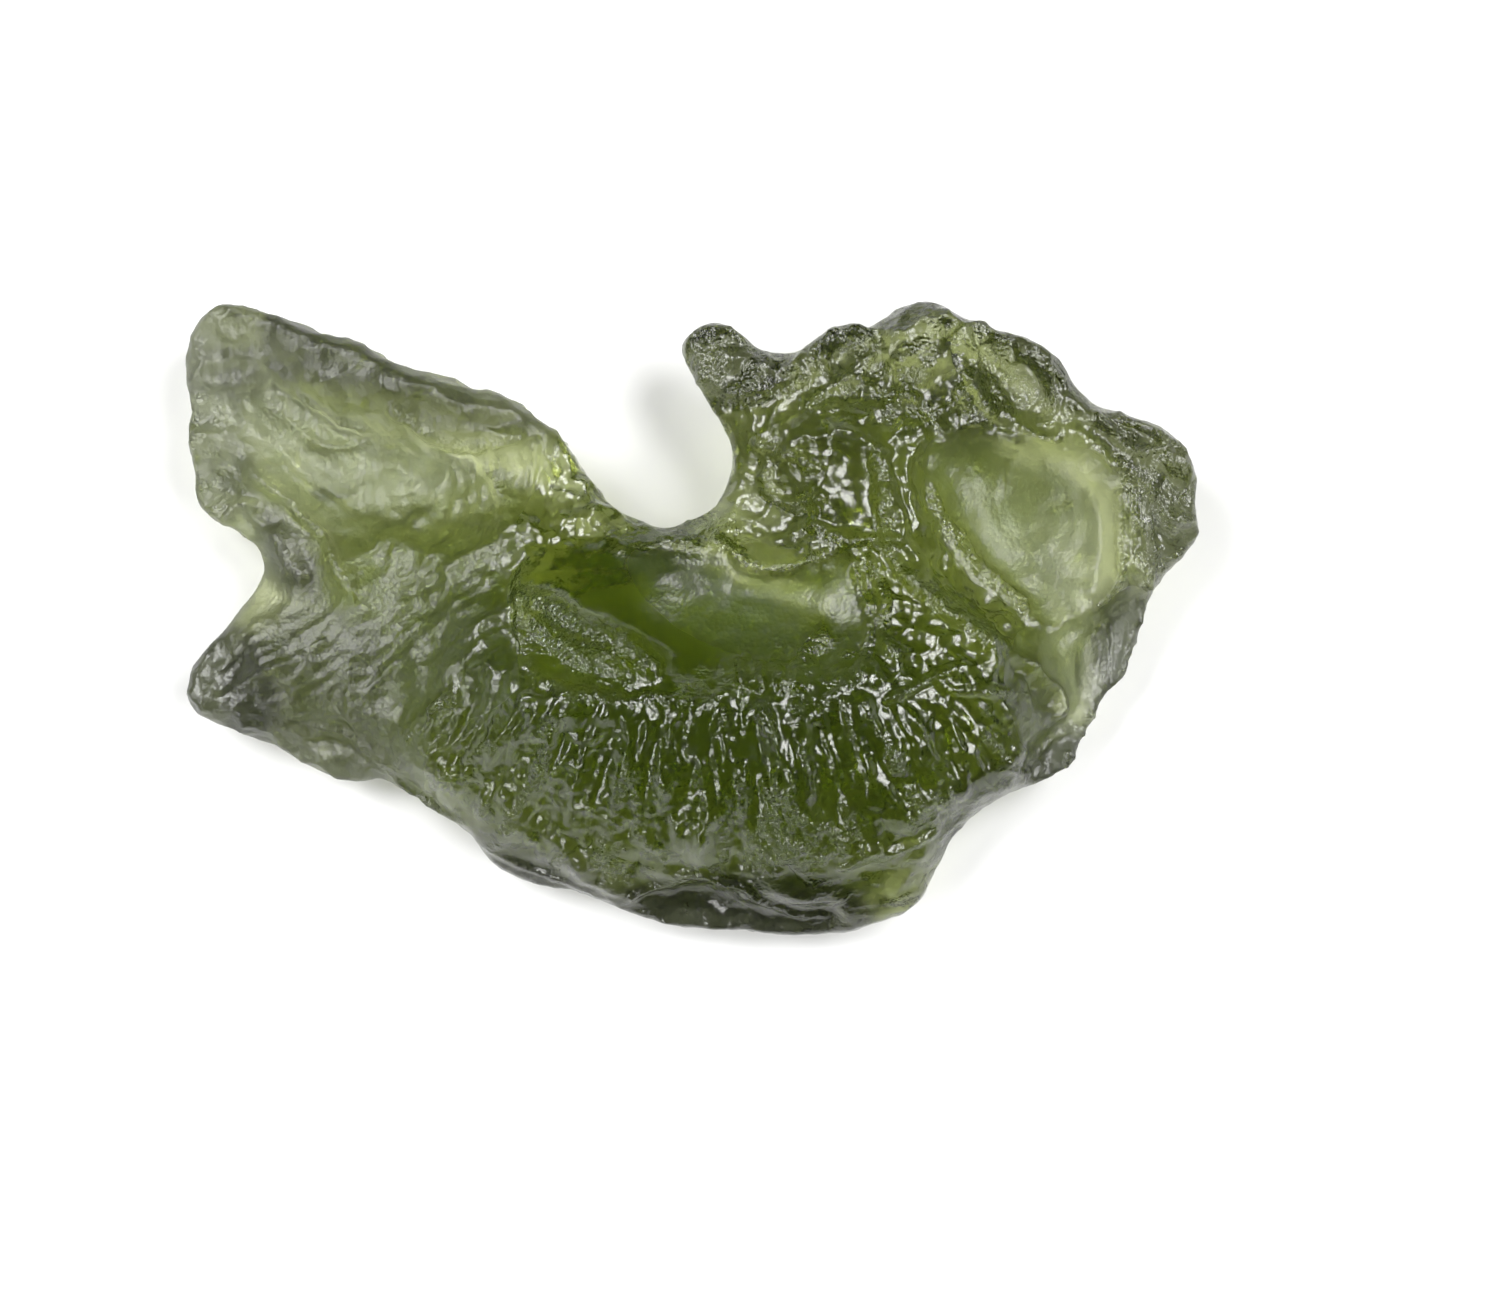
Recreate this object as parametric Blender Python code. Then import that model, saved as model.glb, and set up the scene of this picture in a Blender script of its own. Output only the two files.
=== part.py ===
"""A raw moldavite: one natural splinter of green glass, lying on its back, modelled as one solid.

The stone is sculpted the way a modeller would do it: a slab is cut to the outline, its two faces
are raised to a few surveyed heights, the large hollows, ledges and ridges are carved, and the
small etched cups and flutes are pressed in last. Sizes are in millimetres until the final step,
which makes them metres. Plan positions are pixels of the reference picture, read by eye, and
plan() turns them into millimetres. The origin is on the resting face's plane, under the middle
of the stone; +X runs to the right wing and +Z up.
"""

import bmesh
import bpy
import numpy as np
from mathutils import Vector, noise

# Driving dimensions, in millimetres.
LENGTH = 28.0
LEAST_THICKNESS = 0.60
RIM_ROUNDING = 1.00
SLAB_THICKNESS = 4.0
SPOT_SINK = 0.45
SPOT_WALL = 1.8
FLAT_WITHIN = 0.05
METRES_PER_MM = 0.001

# Where the picture shows the stone's four sides, in pixels.
PIXEL_LEFT, PIXEL_RIGHT = 180, 1199
PIXEL_TOP, PIXEL_BOTTOM = 302, 938
MM_PER_PIXEL = LENGTH / (PIXEL_RIGHT - PIXEL_LEFT)
PIXEL_MIDDLE = ((PIXEL_LEFT + PIXEL_RIGHT) / 2, (PIXEL_TOP + PIXEL_BOTTOM) / 2)

# Mesh sizes, in millimetres, and the finished solid's number of triangles.
CURVE_STEPS = 3
BLANK_VOXEL = 0.40
SCULPT_VOXEL = 0.20
SMOOTH_SHARE = 0.5
SMOOTH_ROUNDS = 2
TRIANGLES = 9600
NEXT_TO_NOTHING = 1e-9

GLASS_GREEN = (0.13, 0.19, 0.05, 1.0)
GLASS_ROUGHNESS = 0.25

# The outline, clockwise as seen from above, one stretch after another.
LEFT_WING_EDGE = [
    (181, 386), (180, 370), (182, 354), (185, 340), (191, 327), (199, 318), (211, 309), (223, 304),
    (236, 302), (250, 305), (264, 313), (278, 317), (297, 320), (309, 328), (324, 333), (338, 337),
    (351, 336), (362, 340), (375, 350), (392, 360), (408, 369), (426, 376), (440, 380), (451, 380),
    (463, 386), (473, 393), (480, 395), (490, 393), (501, 395), (512, 400), (525, 408), (538, 418),
    (552, 427), (563, 435), (570, 443),
]
BAY_EDGE = [
    (576, 456), (585, 474), (594, 489), (607, 503), (622, 514), (638, 522), (656, 527), (672, 528),
    (686, 526), (700, 519), (712, 509), (722, 495), (729, 480), (731, 465), (730, 451), (726, 441),
]
HORN_EDGE = [
    (720, 428), (713, 414), (705, 398), (697, 385), (688, 374), (681, 364), (677, 352), (679, 341),
    (685, 335), (694, 331), (703, 324), (715, 321), (728, 322), (736, 328), (743, 336), (752, 344),
    (762, 350), (773, 355), (785, 355),
]
CREST_EDGE = [
    (798, 350), (812, 343), (824, 335), (836, 329), (848, 327), (860, 331), (869, 337), (876, 330),
    (882, 320), (889, 313), (901, 308), (914, 304), (928, 302), (939, 307), (951, 312), (966, 320),
    (985, 327), (1002, 333), (1018, 340), (1034, 346), (1047, 352), (1055, 362), (1061, 374),
    (1068, 386), (1078, 396), (1087, 405), (1098, 411),
]
RIGHT_WING_EDGE = [
    (1112, 413), (1128, 416), (1145, 421), (1161, 429), (1174, 439), (1183, 452), (1188, 467),
    (1189, 485), (1191, 502), (1196, 518), (1199, 531), (1195, 542), (1188, 550), (1179, 556),
    (1171, 566), (1161, 577), (1152, 589), (1146, 601), (1145, 615), (1142, 631), (1138, 646),
    (1132, 660), (1129, 675), (1120, 685), (1109, 693), (1099, 702), (1096, 714), (1093, 727),
    (1086, 738), (1079, 748), (1074, 759), (1065, 770), (1055, 777), (1042, 783), (1030, 785),
]
UNDER_EDGE = [
    (1018, 788), (1007, 796), (995, 802), (984, 809), (973, 820), (960, 829), (951, 838), (946, 849),
    (939, 861), (933, 872), (928, 884), (925, 896), (919, 906), (911, 913), (899, 920), (884, 925),
    (867, 929), (850, 934), (838, 937), (827, 938), (814, 935), (800, 937), (786, 938), (770, 938),
    (757, 937), (745, 934), (730, 933), (715, 934), (700, 932), (684, 930), (667, 927), (650, 925),
    (640, 922), (632, 916), (618, 913), (608, 909), (598, 905), (588, 900), (578, 895), (568, 891),
    (556, 890), (543, 891), (529, 889), (518, 883), (508, 877), (497, 872), (487, 867), (478, 860),
    (472, 851), (470, 842), (465, 834), (457, 827), (447, 819), (436, 812), (424, 805), (412, 797),
    (399, 789), (386, 782), (375, 779), (364, 780), (350, 782), (336, 782), (324, 778), (313, 776),
    (303, 771), (295, 764), (286, 757), (277, 750), (267, 745), (255, 740), (241, 735), (228, 730),
    (216, 727),
]
TAIL_EDGE = [
    (203, 722), (194, 715), (187, 708), (183, 698), (182, 685), (185, 672), (192, 659), (201, 648),
    (212, 635), (225, 621), (238, 606), (249, 593), (258, 582), (263, 572), (264, 562), (260, 553),
    (252, 545), (242, 537), (230, 531), (218, 526), (207, 520), (199, 513), (193, 504), (190, 492),
    (189, 480), (187, 466), (184, 450), (183, 434), (185, 420), (186, 408), (184, 397),
]
OUTLINE = (
    LEFT_WING_EDGE + BAY_EDGE + HORN_EDGE + CREST_EDGE + RIGHT_WING_EDGE + UNDER_EDGE + TAIL_EDGE
)

# Surveyed heights above the resting plane: (pixel across, pixel down, millimetres).
FACE_HEIGHTS = [
    (215, 335, 3.0), (290, 350, 3.5), (380, 385, 3.9), (470, 415, 4.1), (545, 445, 3.8),
    (215, 420, 2.6), (290, 440, 2.5), (370, 465, 2.5), (450, 480, 2.7), (240, 500, 2.6),
    (340, 545, 2.9), (430, 560, 3.5), (270, 600, 2.6), (215, 680, 3.0), (300, 660, 3.3),
    (400, 650, 3.8), (330, 725, 3.1), (430, 740, 4.2), (500, 520, 3.9), (490, 620, 4.9),
    (530, 690, 6.0), (640, 700, 6.3), (760, 705, 6.3), (860, 690, 6.0), (600, 560, 4.7),
    (700, 552, 4.4), (810, 560, 4.9), (500, 790, 4.1), (600, 800, 4.9), (720, 810, 5.2),
    (840, 800, 5.2), (560, 860, 3.0), (700, 870, 3.6), (830, 880, 3.6), (900, 860, 3.5),
    (780, 470, 4.3), (850, 490, 5.1), (715, 350, 4.0), (760, 410, 4.1), (840, 360, 4.3),
    (920, 335, 4.5), (900, 430, 4.6), (1000, 370, 4.5), (960, 500, 3.5), (1040, 500, 3.3),
    (1010, 590, 3.4), (900, 580, 4.8), (980, 650, 5.0), (1120, 440, 4.4), (1160, 490, 4.2),
    (1110, 570, 3.5), (1110, 645, 3.0), (1070, 690, 3.3), (1050, 750, 2.7), (940, 740, 5.3),
    (1000, 760, 4.2), (930, 810, 4.0), (590, 518, 3.9), (652, 550, 4.3),
]
BACK_HEIGHTS = [
    (215, 335, 1.6), (300, 380, 1.4), (420, 430, 1.3), (540, 450, 1.6), (220, 470, 1.3),
    (330, 490, 1.1), (450, 540, 0.9), (280, 600, 1.0), (210, 690, 1.1), (320, 750, 0.9),
    (400, 690, 0.7), (480, 800, 0.7), (560, 640, 0.5), (660, 700, 0.4), (780, 720, 0.4),
    (600, 780, 0.5), (720, 800, 0.6), (560, 860, 0.8), (700, 900, 0.8), (840, 900, 0.8),
    (670, 556, 1.4), (590, 530, 1.5), (785, 600, 2.3), (760, 460, 1.3), (715, 360, 1.8),
    (850, 370, 1.7), (940, 350, 1.8), (1010, 400, 1.6), (900, 480, 1.2), (880, 680, 0.5),
    (880, 800, 0.6), (1000, 520, 1.3), (1120, 480, 1.9), (1160, 530, 2.1), (1080, 620, 1.5),
    (980, 700, 0.8), (1060, 740, 1.2), (960, 800, 0.9), (475, 492, 1.4), (1020, 620, 1.5),
    (940, 600, 1.3),
]
# The rim's middle height and half its thickness: (pixel across, pixel down, mm, mm).
RIM = [
    (200, 330, 2.2, 0.65), (180, 400, 1.9, 0.55), (200, 510, 1.9, 0.60), (265, 565, 1.7, 0.35),
    (185, 690, 1.8, 0.75), (240, 735, 1.4, 0.50), (330, 782, 1.2, 0.40), (440, 815, 1.3, 0.35),
    (480, 860, 1.2, 0.45), (600, 905, 1.3, 0.55), (740, 935, 1.4, 0.75), (840, 938, 1.4, 0.75),
    (925, 890, 1.5, 0.70), (1000, 800, 1.7, 0.60), (1090, 730, 1.8, 0.45), (1145, 620, 2.2, 0.35),
    (1198, 530, 2.8, 0.80), (1170, 435, 2.9, 0.90), (1060, 370, 2.9, 0.90), (930, 303, 3.0, 0.90),
    (850, 328, 2.9, 0.70), (715, 321, 2.9, 0.70), (705, 398, 2.8, 0.45), (731, 465, 2.7, 0.40),
    (672, 528, 2.6, 0.40), (590, 485, 2.6, 0.35), (510, 400, 2.7, 0.60), (360, 340, 2.5, 0.70),
]

# Hollows and ledges of the face: a closed curve in the plan, how deep it is cut in millimetres,
# and how wide its side wall is.
WINDOW = [
    (523, 612), (526, 574), (548, 552), (600, 548), (660, 552), (700, 562), (760, 566), (812, 568),
    (846, 586), (864, 624), (856, 662), (826, 686), (780, 690), (735, 684), (690, 692), (640, 690),
    (590, 692), (548, 676),
]
WINDOW_PANE = [
    (664, 606), (700, 586), (762, 580), (818, 584), (846, 600), (858, 628), (848, 662), (816, 682),
    (776, 680), (736, 666), (700, 676), (668, 660), (650, 626),
]
WINDOW_FOOT = [
    (522, 612), (556, 636), (606, 664), (646, 688), (598, 692), (550, 682), (524, 652),
]
RIGHT_BOWL = [
    (925, 462), (975, 446), (1040, 446), (1085, 470), (1118, 500), (1118, 556), (1096, 600),
    (1060, 628), (1020, 626), (985, 585), (948, 540),
]
WING_HOLLOW = [
    (215, 392), (262, 388), (320, 404), (372, 424), (440, 446), (528, 450), (538, 476), (505, 512),
    (450, 532), (400, 536), (352, 520), (306, 482), (250, 452), (212, 430),
]
TAIL_LEDGE = [
    (250, 732), (310, 728), (345, 733), (370, 750), (402, 780), (440, 806), (455, 830), (380, 812),
    (300, 812), (250, 775),
]
HEEL_LEDGE = [
    (462, 832), (505, 854), (560, 876), (604, 898), (604, 925), (540, 905), (480, 885), (455, 850),
]
FOOT_LEDGE = [
    (622, 900), (650, 882), (690, 872), (738, 880), (772, 904), (832, 916), (838, 950), (740, 950),
    (640, 940),
]
ELBOW_LEDGE = [
    (1042, 655), (1054, 690), (1066, 722), (1036, 736), (1026, 760), (1024, 800), (1080, 800),
    (1130, 730), (1160, 640), (1150, 604), (1100, 618), (1062, 634),
]
CREST_PIT = [(962, 352), (1000, 342), (1036, 372), (1044, 410), (1010, 424), (984, 396)]
HORN_PIT = [(706, 336), (730, 338), (734, 356), (716, 364), (702, 354)]
LOOP_PIT = [(822, 350), (846, 336), (862, 346), (856, 364), (834, 372), (818, 364)]
THROAT_POCKETS = [
    [(836, 470), (862, 462), (882, 486), (886, 524), (866, 544), (840, 534), (826, 504)],
    [(842, 556), (868, 552), (880, 572), (866, 590), (846, 580)],
    [(748, 500), (780, 488), (808, 506), (800, 536), (764, 544), (742, 528)],
]
EDGE_PITS = [
    [(180, 394), (200, 396), (208, 416), (196, 432), (178, 430)],
    [(192, 462), (226, 464), (240, 490), (224, 512), (194, 506)],
    [(200, 640), (232, 646), (244, 672), (222, 690), (198, 676)],
]
SHOULDER_PITS = [
    [(1080, 420), (1096, 424), (1110, 446), (1102, 456), (1086, 444)],
    [(1112, 420), (1140, 424), (1156, 442), (1140, 450), (1118, 438)],
    [(1152, 476), (1172, 482), (1176, 502), (1160, 510), (1150, 494)],
]
CARVED = [
    (WINDOW, 0.45, 1.8),
    (WINDOW_PANE, 0.35, 1.6),
    (WINDOW_FOOT, 0.30, 0.6),
    (RIGHT_BOWL, 0.50, 1.2),
    (WING_HOLLOW, 0.35, 0.7),
    (TAIL_LEDGE, 0.8, 0.35),
    (HEEL_LEDGE, 0.6, 0.35),
    (FOOT_LEDGE, 0.6, 0.4),
    (ELBOW_LEDGE, 0.75, 0.4),
    (CREST_PIT, 0.6, 0.4),
    (HORN_PIT, 0.35, 0.4),
    (LOOP_PIT, 0.4, 0.4),
]
THROAT_DEPTH, THROAT_WALL = 0.40, 0.5
EDGE_PIT_DEPTH, EDGE_PIT_WALL = 0.35, 0.5
SHOULDER_DEPTH, SHOULDER_WALL = 0.35, 0.45
CARVED += [(pit, THROAT_DEPTH, THROAT_WALL) for pit in THROAT_POCKETS]
CARVED += [(pit, EDGE_PIT_DEPTH, EDGE_PIT_WALL) for pit in EDGE_PITS]
CARVED += [(pit, SHOULDER_DEPTH, SHOULDER_WALL) for pit in SHOULDER_PITS]

# Ridges and creases of the face: the line that each follows, its height in millimetres (below
# zero for a crease) and its half width.
RIDGES = [
    ([(232, 455), (285, 490), (318, 530), (342, 570), (358, 602)], 0.45, 0.40),
    ([(262, 515), (285, 555), (312, 590)], 0.20, 0.45),
    ([(262, 384), (300, 412), (350, 440)], -0.30, 0.28),
    ([(388, 408), (420, 430), (470, 442), (530, 440)], 0.30, 0.30),
    ([(528, 590), (572, 622), (622, 646), (668, 676)], 0.55, 0.36),
    ([(740, 668), (790, 676), (836, 664), (852, 634)], 0.30, 0.30),
    ([(482, 640), (520, 700), (600, 706), (690, 704), (780, 706), (850, 696), (880, 664)], 0.35, 0.5),
    ([(880, 450), (892, 520), (930, 586), (985, 636), (1018, 660)], 0.45, 0.42),
    ([(905, 520), (945, 575), (1000, 622), (1040, 652)], -0.15, 0.30),
    ([(872, 345), (880, 390), (872, 440)], -0.40, 0.40),
    ([(940, 330), (960, 385), (1000, 436), (1052, 446)], 0.45, 0.38),
    ([(1046, 440), (1100, 462), (1122, 500), (1120, 560), (1098, 606)], 0.40, 0.38),
    ([(870, 800), (930, 812), (990, 780), (1030, 748)], 0.30, 0.40),
    ([(768, 372), (800, 392), (850, 396)], -0.35, 0.35),
    ([(770, 440), (830, 434), (872, 452)], 0.25, 0.35),
    ([(838, 870), (880, 842), (940, 822)], 0.30, 0.30),
    ([(722, 546), (760, 562), (800, 564), (842, 546), (884, 548)], 0.30, 0.30),
    ([(556, 470), (540, 520), (520, 560), (508, 610)], -0.30, 0.35),
    ([(455, 560), (510, 530), (560, 520)], 0.25, 0.30),
    ([(1120, 455), (1150, 520), (1150, 570), (1124, 610)], -0.40, 0.35),
]
RIDGE_ENDS = 0.35
RIDGE_TAPER = 6

# The small flat spot of the back that the stone rests on, a closed curve under its centre of mass.
RESTING_SPOT = [
    (566, 634), (590, 602), (640, 584), (696, 582), (730, 594), (742, 626), (766, 652), (814, 672),
    (844, 704), (812, 740), (730, 750), (640, 738), (580, 692),
]

# The etched surface. Cups are round pits that meet in sharp crests; flutes are cups drawn out
# along lines that fan from a point above the window. The level is the share of a cup's depth
# that lies below the plain face.
CUP_SPACING = 1.60
CUP_DEPTH = 0.50
CUP_LEVEL = 0.5
FLUTE_FAN = (720, 380)
FLUTE_SPACING = 0.95
FLUTE_LENGTH = 4.2
FLUTE_DEPTH = 0.40
FLUTE_BAND = [
    (420, 700), (500, 712), (620, 716), (760, 716), (880, 700), (960, 690), (1040, 700), (1020, 770),
    (940, 806), (840, 850), (700, 858), (560, 852), (480, 818), (420, 766),
]
TAIL_CALM = [(262, 540), (330, 540), (400, 560), (400, 640), (330, 660), (250, 640)]
# Which parts of the face are smoother, and what share of the cups' depth is lost there.
CALM = [(WINDOW, 0.85), (RIGHT_BOWL, 0.85), (TAIL_CALM, 0.7), (WING_HOLLOW, 0.5)]
CALM_BAND = 0.8
CLEAR_OF_OUTLINE = 0.9
RIM_TEXTURE = 0.35


def plan(pixel):
    """A pixel of the picture as millimetres across and up the plan."""
    across = (pixel[0] - PIXEL_MIDDLE[0]) * MM_PER_PIXEL
    up = (PIXEL_MIDDLE[1] - pixel[1]) * MM_PER_PIXEL
    return across, up


def smooth_line(points, closed):
    """A Catmull-Rom curve through the points, as an array of plan positions."""
    corners = np.array([plan(point) for point in points])
    count = len(corners)
    spans = count if closed else count - 1
    line = []
    for span in range(spans):
        around = [span - 1, span, span + 1, span + 2]
        if closed:
            a, b, c, d = (corners[i % count] for i in around)
        else:
            a, b, c, d = (corners[min(max(i, 0), count - 1)] for i in around)
        for step in range(CURVE_STEPS):
            t = step / CURVE_STEPS
            line.append(
                0.5 * (2 * b + (c - a) * t + (2 * a - 5 * b + 4 * c - d) * t**2
                       + (3 * b - a - 3 * c + d) * t**3)
            )
    if not closed:
        line.append(corners[-1])
    return np.array(line)


def distance_to(places, line, closed):
    """How far each place is from the line, and how far along the line its nearest point lies, 0 to 1."""
    starts = line if closed else line[:-1]
    ends = np.roll(line, -1, axis=0) if closed else line[1:]
    nearest = np.full(len(places), np.inf)
    along = np.zeros(len(places))
    for index, (start, end) in enumerate(zip(starts, ends)):
        run = end - start
        share = np.clip((places - start) @ run / max(run @ run, NEXT_TO_NOTHING), 0, 1)
        gap = np.linalg.norm(places - start - share[:, None] * run, axis=1)
        closer = gap < nearest
        nearest[closer] = gap[closer]
        along[closer] = (index + share[closer]) / len(starts)
    return nearest, along


def is_inside(places, line):
    """True for each place that the closed line goes round, by the crossings of a ray along +X."""
    inside = np.zeros(len(places), bool)
    across, up = places.T
    for (x0, y0), (x1, y1) in zip(line, np.roll(line, -1, axis=0)):
        if y0 == y1:
            continue
        spans = (y0 > up) != (y1 > up)
        inside ^= spans & (across < (x1 - x0) * (up - y0) / (y1 - y0) + x0)
    return inside


def smoothstep(value):
    value = np.clip(value, 0, 1)
    return value * value * (3 - 2 * value)


def cover(places, curve, wall):
    """1 well inside the closed curve and 0 outside it, with a wall that wide in between."""
    line = smooth_line(curve, closed=True)
    gap, _ = distance_to(places, line, closed=True)
    signed = np.where(is_inside(places, line), gap, -gap)
    return smoothstep(0.5 + signed / wall)


def surface_through(spots, column=2):
    """A function that gives the smooth thin-plate surface through one column of the spots."""
    known = np.array([plan(spot[:2]) for spot in spots])
    values = np.array([spot[column] for spot in spots])

    def kernel(places):
        squared = ((places[:, None, :] - known[None, :, :]) ** 2).sum(axis=2)
        return 0.5 * squared * np.log(squared + NEXT_TO_NOTHING)

    def plane(places):
        return np.column_stack([np.ones(len(places)), places])

    count = len(known)
    system = np.zeros((count + 3, count + 3))
    system[:count, :count] = kernel(known)
    system[:count, count:] = plane(known)
    system[count:, :count] = plane(known).T
    weights = np.linalg.solve(system, np.concatenate([values, np.zeros(3)]))
    return lambda places: kernel(places) @ weights[:count] + plane(places) @ weights[count:]


def places_of(mesh):
    """The mesh's vertices as an array of three columns."""
    flat = np.empty(len(mesh.vertices) * 3)
    mesh.vertices.foreach_get("co", flat)
    return flat.reshape(-1, 3)


def move_to(mesh, places):
    mesh.vertices.foreach_set("co", places.ravel())
    mesh.update()


def with_modifier(obj, kind, **settings):
    """Applies one modifier to the object's mesh."""
    modifier = obj.modifiers.new(kind.title(), kind)
    for name, value in settings.items():
        setattr(modifier, name, value)
    graph = bpy.context.evaluated_depsgraph_get()
    finished = bpy.data.meshes.new_from_object(obj.evaluated_get(graph))
    obj.modifiers.clear()
    rough = obj.data
    obj.data = finished
    bpy.data.meshes.remove(rough)


def cut_blank():
    """A flat slab with the stone's outline, meshed in even squares."""
    outline = smooth_line(OUTLINE, closed=True)
    slab = bmesh.new()
    corners = [slab.verts.new((x, y, -SLAB_THICKNESS / 2)) for x, y in outline]
    face = slab.faces.new(corners)
    raised = bmesh.ops.extrude_face_region(slab, geom=[face])
    top = [part for part in raised["geom"] if isinstance(part, bmesh.types.BMVert)]
    bmesh.ops.translate(slab, verts=top, vec=(0, 0, SLAB_THICKNESS))
    bmesh.ops.recalc_face_normals(slab, faces=slab.faces)
    mesh = bpy.data.meshes.new("moldavite")
    slab.to_mesh(mesh)
    slab.free()
    stone = bpy.data.objects.new("moldavite", mesh)
    bpy.context.scene.collection.objects.link(stone)
    with_modifier(stone, "REMESH", mode="VOXEL", voxel_size=BLANK_VOXEL)
    return stone


def face_relief(places):
    """What the hollows, ledges and ridges add to the face's height."""
    relief = np.zeros(len(places))
    for curve, depth, wall in CARVED:
        relief -= depth * cover(places, curve, wall)
    for points, height, half_width in RIDGES:
        gap, along = distance_to(places, smooth_line(points, closed=False), closed=False)
        taper = smoothstep(RIDGE_TAPER * along) * smoothstep(RIDGE_TAPER * (1 - along))
        share = RIDGE_ENDS + (1 - RIDGE_ENDS) * taper
        relief += height * share * np.exp(-((gap / half_width) ** 2))
    return relief


def raise_faces(stone):
    """Moves the slab's faces to the surveyed heights, with a rounded rim all round."""
    co = places_of(stone.data)
    places = co[:, :2]
    side = np.clip(co[:, 2] / (SLAB_THICKNESS / 2), -1, 1)
    outline = smooth_line(OUTLINE, closed=True)
    from_edge, _ = distance_to(places, outline, closed=True)
    inwards = np.clip(from_edge / RIM_ROUNDING, 0, 1)
    bulge = np.sqrt(1 - (1 - inwards) ** 2)

    rim = surface_through(RIM)(places)
    half = surface_through(RIM, column=3)(places)
    face = surface_through(FACE_HEIGHTS)(places) + face_relief(places)
    back = surface_through(BACK_HEIGHTS)(places)
    spot = cover(places, RESTING_SPOT, SPOT_WALL)
    back += spot * (-SPOT_SINK - back)
    face = np.maximum(face, back + LEAST_THICKNESS)
    top = rim + half + (face - rim - half) * bulge
    bottom = rim - half + (back - rim + half) * bulge
    co[:, 2] = (top + bottom) / 2 + side * (top - bottom) / 2
    move_to(stone.data, co)


def cups(place):
    """0 in the middle of an etched cup, rising to about 1 on the crests between cups."""
    nearest, _ = noise.voronoi(Vector(place))
    return min(nearest[0], 1.0) ** 2


def press_texture(stone):
    """Presses the cups into both faces and the fan of flutes into the front of the body."""
    mesh = stone.data
    co = places_of(mesh)
    places = co[:, :2]
    outline = smooth_line(OUTLINE, closed=True)
    from_edge, _ = distance_to(places, outline, closed=True)
    free = RIM_TEXTURE + (1 - RIM_TEXTURE) * smoothstep(from_edge / CLEAR_OF_OUTLINE)
    calm = np.ones(len(co))
    for curve, lost in CALM:
        calm = np.minimum(calm, 1 - lost * cover(places, curve, CALM_BAND))
    normals = np.array([vertex.normal for vertex in mesh.vertices])
    upper = normals[:, 2] > 0
    fluted = np.where(upper, cover(places, FLUTE_BAND, CALM_BAND), 0)

    fan = np.array(plan(FLUTE_FAN))
    from_fan = places - fan
    radius = np.linalg.norm(from_fan, axis=1)
    turn = np.arctan2(from_fan[:, 0], -from_fan[:, 1])
    reach = np.median(radius[fluted > 0.5])
    press = np.zeros(len(co))
    for index, place in enumerate(co):
        cup = CUP_DEPTH * (cups(place / CUP_SPACING) - CUP_LEVEL)
        drawn = (turn[index] * reach / FLUTE_SPACING, radius[index] / FLUTE_LENGTH, 0)
        flute = FLUTE_DEPTH * (cups(drawn) - CUP_LEVEL)
        share = fluted[index]
        press[index] = (1 - share) * cup + share * flute
    quiet = np.where(upper, calm, 1.0)
    co += normals * (press * free * quiet)[:, None]
    move_to(mesh, co)


def lay_flat(stone):
    """Brings the lowest patch of the back to the plane that the stone rests on."""
    co = places_of(stone.data)
    co[co[:, 2] < FLAT_WITHIN, 2] = 0
    move_to(stone.data, co)


def thin(stone):
    """Leaves the mesh its number of triangles, most of them where it bends most."""
    count = sum(len(face.vertices) - 2 for face in stone.data.polygons)
    with_modifier(stone, "DECIMATE", ratio=TRIANGLES / count)


def finish(stone):
    """Centres the stone over the origin, makes it metres and gives it its glass."""
    mesh = stone.data
    co = places_of(mesh)
    co[:, :2] -= (co[:, :2].min(axis=0) + co[:, :2].max(axis=0)) / 2
    move_to(mesh, co * METRES_PER_MM)
    mesh.shade_smooth()
    glass = bpy.data.materials.new("moldavite_glass")
    glass.use_nodes = True
    surface = glass.node_tree.nodes["Principled BSDF"]
    surface.inputs["Base Color"].default_value = GLASS_GREEN
    surface.inputs["Roughness"].default_value = GLASS_ROUGHNESS
    surface.inputs["Metallic"].default_value = 0.0
    mesh.materials.clear()
    mesh.materials.append(glass)


for leftover in list(bpy.data.objects):
    bpy.data.objects.remove(leftover)

moldavite = cut_blank()
raise_faces(moldavite)
with_modifier(moldavite, "REMESH", mode="VOXEL", voxel_size=SCULPT_VOXEL)
with_modifier(moldavite, "SMOOTH", factor=SMOOTH_SHARE, iterations=SMOOTH_ROUNDS)
press_texture(moldavite)
lay_flat(moldavite)
thin(moldavite)
lay_flat(moldavite)
finish(moldavite)
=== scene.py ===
import math

import bmesh
import bpy
import numpy as np
from mathutils import Matrix, Vector, noise


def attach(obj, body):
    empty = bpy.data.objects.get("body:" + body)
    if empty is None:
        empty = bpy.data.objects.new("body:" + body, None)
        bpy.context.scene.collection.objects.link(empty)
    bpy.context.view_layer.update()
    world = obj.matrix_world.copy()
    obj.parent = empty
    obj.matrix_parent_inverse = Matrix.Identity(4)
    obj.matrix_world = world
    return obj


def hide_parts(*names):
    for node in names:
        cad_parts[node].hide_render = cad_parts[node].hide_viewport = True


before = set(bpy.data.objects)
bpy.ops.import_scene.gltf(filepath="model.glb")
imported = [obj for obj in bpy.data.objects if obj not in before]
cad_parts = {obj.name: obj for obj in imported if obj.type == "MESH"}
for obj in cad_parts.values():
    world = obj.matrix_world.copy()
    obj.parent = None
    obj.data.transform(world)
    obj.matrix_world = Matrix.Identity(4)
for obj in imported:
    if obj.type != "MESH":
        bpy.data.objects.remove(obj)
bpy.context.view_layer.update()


# The stone's body: one splinter of green natural glass, 28 mm long, as it was found. Its big
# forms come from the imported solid. Acids in the ground etched its skin, so here the solid is
# given a finer skin, and the ledges, furrows and pits of the real one are pressed into it.
MM = 0.001
SKIN_VOXEL = 0.095
SKIN_TRIANGLES = 190000
LENGTH = 28.0
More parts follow.
